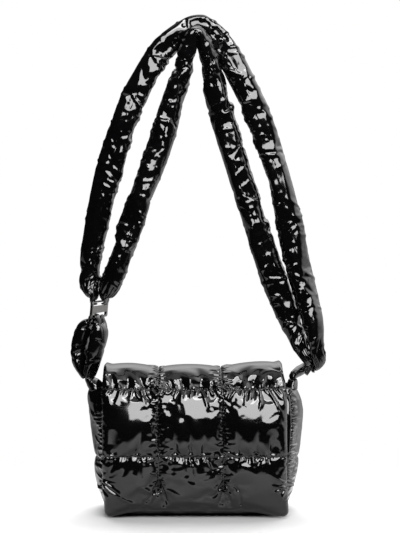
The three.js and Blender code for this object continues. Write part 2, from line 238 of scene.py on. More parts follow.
def smooth_table(rows):
    """Rows of numbers, the first of each row its key, as a function that gives the others at any key."""
    table = np.array(rows, float)
    keys, values = table[:, 0], table[:, 1:]
    slopes = np.gradient(values, keys, axis=0)

    def at(key):
        low = int(np.clip(np.searchsorted(keys, key) - 1, 0, len(keys) - 2))
        gap = keys[low + 1] - keys[low]
        t = min(max((key - keys[low]) / gap, 0.0), 1.0)
        rise = t * t * (3 - 2 * t)
        return ((1 - rise) * values[low] + rise * values[low + 1]
                + gap * t * (1 - t) * ((1 - t) * slopes[low] - t * slopes[low + 1]))

    return at


def smooth_step(value, low, high):
    t = min(max((value - low) / (high - low), 0.0), 1.0)
    return t * t * (3 - 2 * t)


def in_frame(x, y, z):
    """A spot of the sewing pattern, in millimetres, as metres of the frame."""
    return Vector((x, y, z + ZERO_LEVEL)) * MM


class Quilt:
    """Stitch lines one way along a sheet, with the number of cloth cells between each two."""

    def __init__(self, cells, seams):
        self.lines = np.concatenate([[0], np.cumsum(cells)])
        self.count = int(self.lines[-1])
        self.seams = seams

    def at(self, line):
        """Where a line of the cloth lies, on the scale that the seams are given in."""
        return float(np.interp(line, self.lines, self.seams))

    def row_of(self, line):
        return int(np.clip(np.searchsorted(self.lines, line, side="right") - 1, 0, len(self.lines) - 2))

    def fullness(self, line, power=0.6, sunk=1.0):
        """How full the padding is at a line: none on a seam, and 1 about the middle between two."""
        low, high = self.lines[self.row_of(line):][:2]
        return max(math.sin(math.pi * ((line - low) / (high - low)) ** sunk), 0.0) ** power

    def from_seam(self, line):
        return float(np.min(np.abs(self.lines - line)))


def cut_sheet(across, up, place, flat):
    """A sheet with a vertex where each line of cloth across meets one up. place gives its spot, and flat its
    spot on the flat pattern in millimetres, which stays with the cloth as two attributes."""
    sheet = bmesh.new()
    pattern_u = sheet.verts.layers.float.new("pattern_u")
    pattern_v = sheet.verts.layers.float.new("pattern_v")
    bmesh.ops.create_grid(sheet, x_segments=across.count, y_segments=up.count, size=0.5)
    lines = [(round((v.co.x + 0.5) * across.count), round((v.co.y + 0.5) * up.count)) for v in sheet.verts]
    for vertex, (column, row) in zip(sheet.verts, lines):
        vertex[pattern_u], vertex[pattern_v] = flat(column, row)
        vertex.co = place(column, row)
    return sheet, lines


def blow_out(piece, stitched, slack, pressure, frames):
    """Fills a piece with down: its stitches hold, and the slack cloth between them swells and creases."""
    stitches = piece.vertex_groups.new(name="stitches")
    stitches.add([i for i, held in enumerate(stitched) if held], 1.0, "REPLACE")
    tight = piece.vertex_groups.new(name="tight")
    most = max(slack)
    for i, share in enumerate(slack):
        tight.add([i], 1.0 - share / most, "REPLACE")
    filling = piece.modifiers.new("filling", "CLOTH")
    cloth = filling.settings
    cloth.quality = 5
    cloth.mass = 0.02
    cloth.air_damping = 1.0
    cloth.tension_damping = cloth.compression_damping = cloth.shear_damping = 1.0
    cloth.bending_stiffness = 0.02
    cloth.bending_damping = 0.1
    cloth.vertex_group_mass = stitches.name
    cloth.vertex_group_shrink = tight.name
    cloth.shrink_min = -most
    cloth.shrink_max = 0.0
    cloth.use_pressure = True
    cloth.uniform_pressure_force = pressure
    cloth.effector_weights.gravity = 0.0
    for step in range(1, frames + 1):
        scene.frame_set(step)
    keep_result(piece, filling)
    piece.vertex_groups.clear()
    scene.frame_set(1)


def keep_result(piece, modifier):
    """Applies a modifier: the piece keeps the shape it gives now."""
    shaped = bpy.data.meshes.new_from_object(piece.evaluated_get(bpy.context.evaluated_depsgraph_get()))
    piece.modifiers.remove(modifier)
    flat_mesh, piece.data = piece.data, shaped
    bpy.data.meshes.remove(flat_mesh)
    shaped.name = piece.name


def refine(piece, times):
    """Splits every cell of the cloth in four, on a smooth surface, once or more."""
    finer = piece.modifiers.new("finer", "SUBSURF")
    finer.levels = finer.render_levels = times
    keep_result(piece, finer)


def puckers(dice, start, end, away, spacing, reach, height, fan=0.0):
    """Folds that leave a stitch line: where each begins and ends on the pattern, its width and its height.
    With a fan, they spread from the middle of the line."""
    seam = np.subtract(end, start)
    length = np.hypot(*seam)
    seam = seam / length
    folds = []
    place = dice.uniform(0.2, 0.8) * spacing
    while place < length:
        root = np.add(start, seam * place)
        run = reach * dice.uniform(0.30, 1.0) ** 1.4
        lean = dice.normal(0.0, 0.2) + fan * (2.0 * place / length - 1.0)
        tip = root + run * (np.array(away) + lean * seam)
        width, rise = spacing * dice.uniform(0.24, 0.36), height * dice.uniform(0.45, 1.0)
        folds.append((*root, *tip, width, rise))
        place += spacing * dice.uniform(0.65, 1.35)
    return folds


# How a fold lies: how far it bends, by its place on the pattern, its width at the root and how it widens, the
# length over which it rises, and how steep its sides are
FOLD_BEND, FOLD_BEND_U, FOLD_BEND_V = 0.2, 12.9, 7.3
FOLD_ROOT, FOLD_WIDEN, FOLD_RISE, FOLD_BACK = 0.75, 0.7, 1.6, 1.7


def fold_relief(folds, u, v, girth=None):
    """Height of the folds over the cloth, in millimetres, at spots of the pattern. On a tube v goes round.
    Each fold bends a little to one side, and widens towards its tip."""
    relief = np.zeros(len(u))
    for u0, v0, u1, v1, width, height in folds:
        run = math.hypot(u1 - u0, v1 - v0)
        way_u, way_v = (u1 - u0) / run, (v1 - v0) / run
        dv = v - v0 if girth is None else (v - v0 + girth / 2) % girth - girth / 2
        along = ((u - u0) * way_u + dv * way_v) / run
        bend = FOLD_BEND * run * math.sin(FOLD_BEND_U * u0 + FOLD_BEND_V * v0)
        aside = (u - u0) * way_v - dv * way_u - bend * along * np.abs(along)
        spread = width * (FOLD_ROOT + FOLD_WIDEN * np.clip(along, 0.0, 1.0))
        taper = np.clip(along * run / FOLD_RISE, 0.0, 1.0) * np.clip(1.0 - along ** 2, 0.0, 1.0)
        relief += height * taper * np.exp(-np.abs(aside / spread) ** FOLD_BACK)
    return relief


def press_folds(piece, folds, girth=None):
    """Raises folds on a piece, straight out of its surface."""
    mesh = piece.data
    count = len(mesh.vertices)
    u, v = np.zeros(count), np.zeros(count)
    mesh.attributes["pattern_u"].data.foreach_get("value", u)
    mesh.attributes["pattern_v"].data.foreach_get("value", v)
    spots, normals = np.zeros(count * 3), np.zeros(count * 3)
    mesh.vertices.foreach_get("co", spots)
    mesh.vertex_normals.foreach_get("vector", normals)
    relief = np.repeat(fold_relief(folds, u, v, girth), 3) * MM
    mesh.vertices.foreach_set("co", spots + normals * relief)
    mesh.update()


def line_back(piece, columns, rows, place):
    """Closes a padded sheet with its lining, a plain sheet behind it, joined all round the edge."""
    shell = bmesh.new()
    shell.from_mesh(piece.data)
    rim = [edge for edge in shell.edges if edge.is_boundary]
    lining = set(bmesh.ops.create_grid(shell, x_segments=columns, y_segments=rows, size=0.5)["verts"])
    for vertex in lining:
        vertex.co = place(vertex.co.x + 0.5, vertex.co.y + 0.5)
    lining_rim = [edge for edge in shell.edges if edge.is_boundary and edge.verts[0] in lining]
    bmesh.ops.bridge_loops(shell, edges=rim + lining_rim)
    bmesh.ops.recalc_face_normals(shell, faces=shell.faces)
    for face in shell.faces:
        face.smooth = True
    shell.to_mesh(piece.data)
    shell.free()


def hand_in(piece, node):
    """Hangs the piece on the root body and hides the CAD node that it stands for."""
    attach(piece, "root")
    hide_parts(node)


NYLON_BLACK, NYLON_BLOOM = (0.0008, 0.0008, 0.0010, 1.0), (0.0022, 0.0021, 0.0024, 1.0)
NYLON_ROUGH, NYLON_ROUGHER = 0.05, 0.06

nylon, start = new_material("coated_nylon")
coords = start.node("TexCoord", output="Object")
crinkle = start.node("TexNoise", {"Vector": coords, "Scale": 95.0, "Detail": 2.0, "Roughness": 0.45})
grain = start.node("TexNoise", {"Vector": coords, "Scale": 1900.0, "Detail": 1.0})
bloom = start.node("TexNoise", {"Vector": coords, "Scale": 22.0, "Detail": 4.0})
relief = start.node("Bump", {"Strength": 0.04, "Distance": 0.0006, "Height": crinkle})
weave = start.node("Bump", {"Strength": 0.02, "Distance": 0.0002, "Height": grain, "Normal": relief})
cloth_colour = bloom.blend(NYLON_BLACK, NYLON_BLOOM)
surface = start.node("BsdfPrincipled", {
    "Base Color": cloth_colour, "Roughness": bloom * NYLON_ROUGHER + NYLON_ROUGH, "IOR": 1.58,
    "Normal": weave})
start.node("OutputMaterial", {"Surface": surface})


def quilted(name, node, across, up, outer, flat, slack, folds, pressure, frames, finer, lining):
    """A padded piece for a CAD node: a sheet that is cut, sewn, filled, creased and lined."""
    sheet, lines = cut_sheet(across, up, outer, flat)
    piece = add_object(name, sheet, nylon)
    stitched = [across.from_seam(c) == 0 or up.from_seam(r) == 0 for c, r in lines]
    blow_out(piece, stitched, [slack(*line) for line in lines], pressure, frames)
    refine(piece, finer)
    press_folds(piece, folds)
    line_back(piece, *lining)
    hand_in(piece, node)


# The middle of the flap seen from the side: run from the hem, then depth and height
flap_at = smooth_table([
    (0, -50, -1.5), (0.5, -51.2, 40), (1, -53.9, 76), (1.5, -50, 118), (2, -39.5, 156), (2.25, -27, 169.5),
    (2.5, -2.5, 176), (2.75, 22, 171.5), (3, 30.5, 156),
])
flap_across = Quilt(FLAP_CELLS_ACROSS, FLAP_COLUMNS)
flap_up = Quilt(FLAP_CELLS_UP, (0.0, 1.0, 2.0, 3.0))
FLAP_WIDTH = FLAP_RIGHT - FLAP_LEFT
# Stitch lines on the flat pattern, from the hem to the back seam
FLAP_HEIGHTS = (0.0, 77.0, 159.0, 268.0)


def flap_spot(across, run, out):
    """A spot of the flap: share of its width, run from the hem to the back seam, height over the lining."""
    side = 0.0 if across < 0.5 else 1.0
    aside = max(1.0 - abs(across - side) * FLAP_WIDTH / FLAP_CORNER, 0.0)
    down = max(1.0 - run * FLAP_HEIGHTS[1] / FLAP_CORNER, 0.0)
    across += (0.5 - side) * 2 * FLAP_CORNER / FLAP_WIDTH * aside * (1.0 - math.sqrt(1.0 - down * down / 2))
    run += FLAP_CORNER / FLAP_HEIGHTS[1] * down * (1.0 - math.sqrt(1.0 - aside * aside / 2))
    step = 0.01
    y, z = flap_at(run)
    before, after = flap_at(max(run - step, 0.0)), flap_at(min(run + step, 3.0))
    way = (after - before) / np.linalg.norm(after - before)
    near_hem = 1.0 - smooth_step(run, 0.0, HEM_REACH)
    arch = HEM_ARCH * smooth_step(across, 0.0, HEM_LEFT) * smooth_step(1.0 - across, 0.0, HEM_RIGHT)
    arch *= near_hem
    rolled = smooth_step(run, *ROLL_BEGINS)
    x = FLAP_LEFT + FLAP_WIDTH * across + HEM_SHIFT * near_hem + rolled * -ROLL_NARROW * across
    ends = RIGHT_RISE * smooth_step(across, RIGHT_FROM, 1.0)
    ends += LEFT_RISE * smooth_step(LEFT_FROM - across, 0.0, LEFT_FROM)
    ends += END_FLARE * smooth_step(abs(across - 0.5), FLARE_FROM, 0.5)
    lift = ends * rolled * (1.0 - smooth_step(run, *ROLL_ENDS))
    return in_frame(x, y - out * way[1], z + out * way[0] + arch + lift)


def flap_outer(column, row):
    """The outer sheet before it is filled: a low dome over each cell."""
    puff, power, sunk = FLAP_PUFFS[flap_up.row_of(row)]
    dome = puff * flap_across.fullness(column, FLAP_SIDE_POWER) * flap_up.fullness(row, power, sunk)
    dome *= LEFT_DOME + LEFT_DOME_GAIN * min(flap_across.at(column) / FLAP_COLUMNS[1], 0.5)
    u, v = flap_flat(column, row)
    edge = FLAP_EDGE
    for inwards in (u, FLAP_WIDTH - u, v):
        turn = 1.0 - min(inwards / FLAP_ROUND, 1.0)
        edge *= FLAP_RIM + (1.0 - FLAP_RIM) * math.sqrt(1.0 - turn * turn)
    return flap_spot(flap_across.at(column), flap_up.at(row), edge + dome)


def flap_flat(column, row):
    return FLAP_WIDTH * flap_across.at(column), float(np.interp(row, flap_up.lines, FLAP_HEIGHTS))


def flap_slack(column, row):
    """Extra cloth: some everywhere, more beside the stitch lines, and next to none on the tight roll."""
    beside = math.exp(-flap_across.from_seam(column) / SLACK_REACH)
    level = math.exp(-flap_up.from_seam(row) / SLACK_REACH)
    loose = ROLL_SLACK if flap_up.at(row) > ROLL_TIGHT_FROM else 1.0
    return loose * (SLACK_ALL + SLACK_UPRIGHT * beside + SLACK_LEVEL * level)


# Longer creases of the flap: where each begins and ends on the pattern, its width and its height
FLAP_CREASES = (
    (0, 41, 19, 19, 2, 2.4), (0, 37, 44, 6, 1.8, 1.5), (0, 33, 10, 13, 1.8, 2), (0, 44, 27, 27, 1.6, 1.5),
    (0, 47, 21, 41, 1.8, -1.3), (229, 38, 212, 24, 2, 2.2), (231, 42, 205, 56, 1.8, 1.7),
    (231, 37, 211, 35, 1.6, 1.8), (231, 33, 219, 18, 1.6, 1.6), (172, 8, 171, 30, 1.8, -1.8),
    (171, 29, 166, 40, 1.6, -1.4), (49, 4, 50, 18, 1.6, -1.4), (112, 76, 122, 42, 2.6, -1.8),
    (131, 76, 147, 50, 2.4, -1.8), (46, 76, 37, 56, 2.4, -1.6), (201, 76, 189, 58, 2.4, -1.5),
    (71, 46, 60, 10, 1.8, -1.9), (71, 40, 66, 6, 1.6, -1.7), (71, 42, 77, 8, 1.6, -1.7),
    (71, 47, 84, 11, 1.8, -1.9), (152, 44, 142, 16, 1.8, -1.9), (152, 38, 149, 5, 1.6, -1.7),
    (152, 40, 158, 10, 1.6, -1.7), (152, 46, 164, 18, 1.8, -1.9), (232, 184, 211, 197, 1.8, -1.2),
    (0, 178, 18, 186, 2, -1.2), (35, 161, 31, 198, 6, -4), (53, 161, 47, 194, 5, -3.6),
    (87, 161, 93, 196, 5.5, -3.8), (104, 161, 100, 190, 4, -3), (126, 161, 132, 200, 6, -4),
    (173, 161, 184, 204, 6, -4.2), (191, 161, 196, 194, 5, -3.4), (211, 161, 216, 190, 4.5, -3),
    (14, 79, 11, 110, 5.5, -3.2), (45, 79, 47, 115, 5, -3.4), (92, 79, 91, 126, 5, -3.8),
    (111, 79, 113, 127, 4, -3.8), (127, 79, 131, 122, 4.5, -3.6), (171, 79, 169, 116, 5.5, -3.4),
    (193, 79, 194, 110, 4, -3), (214, 79, 217, 116, 5.5, -3.4),
)
# Puckers beside a stitch line: spacing, reach, height and, where they spread, fan
UNDER_ROLL_ABOVE = ((5.8, 26, 2.3, 0.5), (16, 56, 2.6, 0.4), (21, 70, -3.2, 0.3))
UNDER_ROLL_BELOW = ((5.8, 30, 2.6, 0.8), (13, 42, 1.4, 0.6))
LOW_SEAM_ABOVE = ((4.6, 12, 0.9, 0.2), (12, 30, 1.2, 0.4))
LOW_SEAM_BELOW = ((4.4, 14, 1.15, 0.3), (13, 42, -2.6, 0.6))
UPRIGHT_SEAM = (4.4, 14, 1.3, 0.3)
ROLL_SEAM = (4.4, 17, 2.2, 0.3)
SIDE_EDGE = (6, 9, 0.5)
UPRIGHT_FOOT, SIDE_FOOT = 24.0, 6.0  # where the puckers of the upright seams and of the sides begin
STAR_RAYS, STAR_REACH, STAR_WIDTH, STAR_HEIGHT = 12, 26.0, 1.7, 1.3


def star(dice, middle):
    """Folds that leave a crossing of two stitch lines all round."""
    folds = []
    for ray in range(STAR_RAYS):
        turn = (ray + dice.uniform(-0.3, 0.3)) * math.tau / STAR_RAYS
        run = STAR_REACH * dice.uniform(0.5, 1.0)
        tip = np.add(middle, (run * math.cos(turn), run * math.sin(turn)))
        folds.append((*middle, *tip, STAR_WIDTH, STAR_HEIGHT * dice.uniform(0.6, 1.0)))
    return folds


dice = default_rng(11)
flap_folds = list(FLAP_CREASES)
for left, right in zip(FLAP_COLUMNS, FLAP_COLUMNS[1:]):
    for v, way, sorts in (
            (FLAP_HEIGHTS[2], 1.0, UNDER_ROLL_ABOVE), (FLAP_HEIGHTS[2], -1.0, UNDER_ROLL_BELOW),
            (FLAP_HEIGHTS[1], 1.0, LOW_SEAM_ABOVE), (FLAP_HEIGHTS[1], -1.0, LOW_SEAM_BELOW)):
        for sort in sorts:
            flap_folds += puckers(dice, (FLAP_WIDTH * left, v), (FLAP_WIDTH * right, v), (0.0, way), *sort)
for share in FLAP_COLUMNS[1:-1]:
    for side in (-1, 1):
        seam_u = FLAP_WIDTH * share
        for low, high, sort in (
                (UPRIGHT_FOOT, FLAP_HEIGHTS[1], UPRIGHT_SEAM), (*FLAP_HEIGHTS[1:3], UPRIGHT_SEAM),
                (*FLAP_HEIGHTS[2:], ROLL_SEAM)):
            flap_folds += puckers(dice, (seam_u, low), (seam_u, high), (side, 0.0), *sort)
    for level in FLAP_HEIGHTS[1:3]:
        flap_folds += star(dice, (FLAP_WIDTH * share, level))
for seam_u, side in ((0.0, 1.0), (FLAP_WIDTH, -1.0)):
    flap_folds += puckers(dice, (seam_u, SIDE_FOOT), (seam_u, FLAP_HEIGHTS[2]), (side, 0.0), *SIDE_EDGE)

quilted(
    "quilted_flap", "flap", flap_across, flap_up, flap_outer, flap_flat, flap_slack, flap_folds, pressure=1.0,
    frames=14, finer=2, lining=(24, 30, lambda across, up: flap_spot(across, 3.0 * up, 0.0)),
)

# Stitching: black polyester thread, sewn by machine through both layers of the flap and the padding between
# them, along the two level seams and the two upright ones.
STITCH_LENGTH, STITCH_STEP = 2.9, 4.2
THREAD_RADIUS, THREAD_LIFT = 0.42, 0.25
# Where the stitches of a level and of an upright seam begin, and how far they run
LEVEL_FROM, LEVEL_RUN, UPRIGHT_FROM, UPRIGHT_RUN = 0.01, 0.98, 0.2, 2.7
THREAD_BLACK, THREAD_WORN = (0.006, 0.006, 0.007, 1.0), (0.020, 0.019, 0.020, 1.0)

thread_black, start = new_material("sewing_thread")
coords = start.node("TexCoord", output="Object")
fuzz = start.node("TexNoise", {"Vector": coords, "Scale": 900.0, "Detail": 2.0})
twist = start.node("Bump", {"Strength": 0.4, "Distance": 0.0002, "Height": fuzz})
thread_colour = fuzz.blend(THREAD_BLACK, THREAD_WORN)
surface = start.node("BsdfPrincipled", {
    "Base Color": thread_colour, "Roughness": fuzz * 0.2 + 0.35, "Normal": twist})
start.node("OutputMaterial", {"Surface": surface})


def sew(thread, seam_at, length):
    """Stitches end to end along a seam. seam_at gives a spot of it at a share of its length."""
    count = round(length / STITCH_STEP)
    for index in range(count):
        begin = seam_at(index / count)
        end = seam_at((index + STITCH_LENGTH / STITCH_STEP) / count)
        lie = (end - begin).to_track_quat("X", "Z").to_matrix().to_4x4()
        size = Matrix.Diagonal(((end - begin).length / 2, THREAD_RADIUS * MM, THREAD_RADIUS * MM, 1.0))
        bmesh.ops.create_uvsphere(thread, u_segments=6, v_segments=4, radius=1.0,
                                  matrix=Matrix.Translation((begin + end) / 2) @ lie @ size)


thread = bmesh.new()
over_cloth = FLAP_EDGE + THREAD_LIFT
for run in (1.0, 2.0):
    sew(thread, lambda share: flap_spot(LEVEL_FROM + LEVEL_RUN * share, run, over_cloth), FLAP_WIDTH)
for across in FLAP_COLUMNS[1:-1]:
    sew(thread, lambda share: flap_spot(across, UPRIGHT_FROM + UPRIGHT_RUN * share, over_cloth),
        FLAP_HEIGHTS[3])
stitching = add_object("flap_stitching", thread, thread_black)
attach(stitching, "root")

# Front and back panels: quilted like the flap over thinner padding, with a lining behind. The front one is
# hidden by the closed flap, and the back one carries the flap's upper seam.
BODY_FOOT = -0.5
PANEL_SEAM = 76.0
LINING_DEPTH = 3.0
PANEL_CELLS_ACROSS, PANEL_CELLS_UP = (24, 28, 27), (26, 26)
PANEL_SKIN = 0.5
PANEL_SLACK, PANEL_SEAM_SLACK = 0.02, 0.02
# Puckers beside a level and beside an upright stitch line: spacing, reach and height
PANEL_LEVEL, PANEL_UPRIGHT = (6, 20, 0.9), (5, 10, 0.7)
# The body by height: half width of the panels, then where the front, back, left and right stand
body_at = smooth_table([
    (-3, 109, -38, 38, 114, 113), (25, 112, -42, 42, 124, 124), (60, 115, -44, 44, 131, 131.5),
    (100, 118, -43, 43, 132.5, 134.5), (130, 119, -37, 38, 136.5, 136.5), (150, 117, -30, 33, 140, 132),
    (160, 115, -26, 30, 138, 127),
])
HALF, FRONT, BACK, LEFT, RIGHT = range(5)


def broad_panel(name, node, facing, top, puff, dice):
    """A quilted panel of the body that faces the front (-1) or the back (1)."""
    across = Quilt(PANEL_CELLS_ACROSS, FLAP_COLUMNS)
    up = Quilt(PANEL_CELLS_UP, (BODY_FOOT, PANEL_SEAM, top))
    width = 2 * body_at(PANEL_SEAM)[HALF]

    def spot(share, level, out):
        row = body_at(level)
        y = row[FRONT if facing < 0 else BACK] + facing * out
        return in_frame(-facing * row[HALF] * (2 * share - 1), y, level)

    def outer(column, row):
        dome = puff * across.fullness(column) * up.fullness(row)
        return spot(across.at(column), up.at(row), PANEL_SKIN + dome)

    def slack(column, row):
        return PANEL_SLACK + PANEL_SEAM_SLACK * math.exp(-up.from_seam(row) / SLACK_REACH)

    folds = []
    for level in (BODY_FOOT, PANEL_SEAM, top):
        for side in (-1, 1):
            folds += puckers(dice, (0.0, level), (width, level), (0.0, side), *PANEL_LEVEL)
    for share in FLAP_COLUMNS:
        for side in (-1, 1):
            folds += puckers(dice, (width * share, 0.0), (width * share, top), (side, 0.0), *PANEL_UPRIGHT)
    height = top - BODY_FOOT
    quilted(
        name, node, across, up, outer, lambda c, r: (width * across.at(c), up.at(r)), slack, folds,
        pressure=1.5, frames=10, finer=1 if facing < 0 else 2,
        lining=(20, 14, lambda share, rise: spot(share, BODY_FOOT + height * rise, -LINING_DEPTH)),
    )


broad_panel("padded_front", "front_panel", facing=-1.0, top=150.0, puff=2.5, dice=default_rng(21))
broad_panel("padded_back", "back_panel", facing=1.0, top=155.7, puff=6.0, dice=default_rng(22))

# Gussets: the soft sides, gathered on to the edges of the front and back and stitched across once, so that
# each stands out in two puffs.
GUSSET_TOP = 158.0
GUSSET_SEAM = 68.0
GUSSET_PAD = 5.0
GUSSET_CLEAR = LINING_DEPTH + 0.3
GUSSET_DEPTH = 84.0
GUSSET_CELLS_ACROSS, GUSSET_CELLS_UP = (34,), (28, 37)
GUSSET_TUCK = 1.5
GUSSET_BULGE, GUSSET_SQUARE = 0.7, 0.4
GUSSET_SLACK, GUSSET_EDGE_SLACK, GUSSET_EDGE_REACH = 0.006, 0.012, 5.0
# Puckers of a gusset at its upright edges and beside a level seam: spacing, reach and height
GUSSET_EDGE, GUSSET_LEVEL = ((4.6, 34, 2.1), (9, 60, 0.8)), (6, 18, 0.9)


def gusset(name, node, side, filled, dice):
    """A soft side of the body, left (-1) or right (1)."""
    across = Quilt(GUSSET_CELLS_ACROSS, (0.0, 1.0))
    up = Quilt(GUSSET_CELLS_UP, (BODY_FOOT, GUSSET_SEAM, GUSSET_TOP))

    def spot(share, level, out):
        row = body_at(level)
        depth = share if side > 0 else 1.0 - share
        front, back = row[FRONT] + GUSSET_CLEAR, row[BACK] - GUSSET_CLEAR
        bulge = max(math.sin(math.pi * depth), 0.0) ** GUSSET_BULGE
        edge = row[HALF] - GUSSET_TUCK
        x = edge + (row[LEFT if side < 0 else RIGHT] - GUSSET_PAD - edge) * bulge
        return in_frame(side * (x + out), front + (back - front) * depth, level)

    def outer(column, row):
        dome = filled * across.fullness(column) * up.fullness(row, GUSSET_SQUARE)
        return spot(across.at(column), up.at(row), dome)

    def slack(column, row):
        return GUSSET_SLACK + GUSSET_EDGE_SLACK * math.exp(-across.from_seam(column) / GUSSET_EDGE_REACH)

    folds = []
    for edge, away in ((0.0, 1.0), (GUSSET_DEPTH, -1.0)):
        for sort in GUSSET_EDGE:
            folds += puckers(dice, (edge, 0.0), (edge, GUSSET_TOP), (away, 0.0), *sort)
    for level in (BODY_FOOT, GUSSET_SEAM, GUSSET_TOP):
        for away in (-1, 1):
            folds += puckers(dice, (0.0, level), (GUSSET_DEPTH, level), (0.0, away), *GUSSET_LEVEL)
    height = GUSSET_TOP - BODY_FOOT
    quilted(
        name, node, across, up, outer, lambda c, r: (GUSSET_DEPTH * across.at(c), up.at(r)), slack, folds,
        pressure=1.2, frames=10, finer=2,
        lining=(10, 14, lambda share, rise: spot(share, BODY_FOOT + height * rise, -LINING_DEPTH)),
    )


gusset("gusset_puff_left", "gusset_left", side=-1.0, filled=8.0, dice=default_rng(31))
gusset("gusset_puff_right", "gusset_right", side=1.0, filled=4.0, dice=default_rng(32))

# Base: a stiff board wrapped in the same nylon. Its edges are round, because the cloth is folded over them,
# and the panels and gussets stand on its rim.
BASE_ROUND = 0.0022


def round_edges(piece, edges, radius, segments):
    bmesh.ops.bevel(piece, geom=edges, offset=radius, affect="EDGES", segments=segments, profile=0.5,
                    material=-1)


base_low, base_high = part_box("base_panel")
base_board = bmesh.new()
bmesh.ops.create_cube(base_board, size=1.0)
bmesh.ops.scale(base_board, vec=base_high - base_low, verts=base_board.verts)
bmesh.ops.translate(base_board, vec=(base_low + base_high) / 2, verts=base_board.verts)
round_edges(base_board, base_board.edges, BASE_ROUND, 4)
base = add_object("base_board", base_board, nylon)
hand_in(base, "base_panel")

# Rings: two flat cast metal slides, brushed and darkened. Each has a slot above its wide middle bar for the
# strands, and one below it for the loop.
RING_LENGTH, RING_THICK, RING_ROD, RING_SLOT, RING_PLATE = 40.0, 3.4, 2.0, 4.6, 9.0
RING_CORNER, RING_RIM = 2.4, 0.55
SLOT_ROWS = (1, 3)
SHARP = 1.0  # angle, in radians, past which an edge of the ring is rounded
METAL_DARK, METAL_WORN = (0.14, 0.136, 0.132, 1.0), (0.21, 0.205, 0.20, 1.0)


class RingFrame:
    """Where a ring sits: its middle, the way its bars run, and the way the long strands leave it."""

    def __init__(self, middle, bars_run, strands_leave):
        self.centre = Vector(middle)
        self.along = Vector(bars_run).normalized()
        up = Vector(strands_leave)
        self.up = (up - self.along * up.dot(self.along)).normalized()
        self.out = self.along.cross(self.up)

    def at(self, outwards, upwards, along=0.0):
        return self.centre + self.out * outwards + self.up * upwards + self.along * along


left_ring = RingFrame((-125.4, 0.0, 256.5), (0.46, 0.89, 0.0), (0.12, 0.0, 1.0))
right_ring = RingFrame((150.4, 0.0, 189.6), (0.545, 0.0, 0.838), (0.0, -1.0, 0.0))

gunmetal, start = new_material("brushed_gunmetal")
brush_line = start.node("Attribute", output="Fac", attribute_name="brush_line")
coords = start.node("TexCoord", output="Object")
brushing = start.node("TexNoise", {"W": brush_line, "Scale": 9.0, "Detail": 3.0}, noise_dimensions="1D")
handling = start.node("TexNoise", {"Vector": coords, "Scale": 260.0, "Detail": 3.0})
metal_colour = handling.blend(METAL_DARK, METAL_WORN)
hairlines = start.node("Bump", {"Strength": 0.12, "Distance": 0.0002, "Height": brushing})
surface = start.node("BsdfPrincipled", {
    "Base Color": metal_colour, "Metallic": 1.0, "Roughness": brushing * 0.12 + 0.22, "Normal": hairlines})
start.node("OutputMaterial", {"Surface": surface})


def metal_ring(name, node, ring):
    """A plate with two slots, rounded and set in its place."""
    end, half = RING_LENGTH / 2, RING_PLATE / 2
    slot, rod = half + RING_SLOT, half + RING_SLOT + RING_ROD
    across = (-end, -end + RING_THICK, end - RING_THICK, end)
    up = (-rod, -slot, -half, half, slot, rod)
    columns, rows = len(across) - 1, len(up) - 1
    plate = bmesh.new()
    bmesh.ops.create_grid(plate, x_segments=columns, y_segments=rows, size=0.5)
    slots = []
    for face in plate.faces:
        middle = face.calc_center_median()
        if abs(middle.x) < 0.1 and round((middle.y + 0.5) * rows - 0.5) in SLOT_ROWS:
            slots.append(face)
    bmesh.ops.delete(plate, geom=slots, context="FACES_ONLY")
    for vertex in plate.verts:
        column, row = round((vertex.co.x + 0.5) * columns), round((vertex.co.y + 0.5) * rows)
        vertex.co = (across[column], up[row], -RING_THICK / 2)
    raised = bmesh.ops.extrude_face_region(plate, geom=plate.faces[:])["geom"]
    face_verts = [part for part in raised if isinstance(part, bmesh.types.BMVert)]
    bmesh.ops.translate(plate, vec=(0, 0, RING_THICK), verts=face_verts)
    bmesh.ops.recalc_face_normals(plate, faces=plate.faces)

    def sharp_edges(upright):
        sharp = [e for e in plate.edges if e.calc_face_angle(0) > SHARP]
        return [e for e in sharp if (abs(e.verts[0].co.z - e.verts[1].co.z) > RING_THICK / 2) == upright]

    corners = [e for e in sharp_edges(upright=True) if abs(e.verts[0].co.x) > end - RING_THICK / 2]
    round_edges(plate, corners, RING_CORNER, 6)
    round_edges(plate, sharp_edges(upright=False), RING_RIM, 3)
    brush = plate.verts.layers.float.new("brush_line")
    for vertex in plate.verts:
        vertex[brush] = vertex.co.y
        spot = ring.at(vertex.co.z, vertex.co.y, vertex.co.x)
        vertex.co = in_frame(*spot)
    made = add_object(name, plate, gunmetal)
    hand_in(made, node)


metal_ring("metal_ring_left", "ring_left", left_ring)
metal_ring("metal_ring_right", "ring_right", right_ring)

# Strands: two fat tubes of the same nylon, loosely stuffed, that run side by side from the left ring over the
# hanging point to the right ring. The cloth is gathered on the seam of each tube, which faces the other one,
# and each end is flattened and folded round a ring's thin bar.
TWIST_HEIGHT = 60.0  # height over a ring within which a strand turns from the way of its bar
STRAND_GIRTH, STRAND_END = 88.0, 28.0  # way round, and length of each end that is held
STRAND_SIDES, STRAND_STEP, STRAND_SLACK = 36, 2.3, 0.02
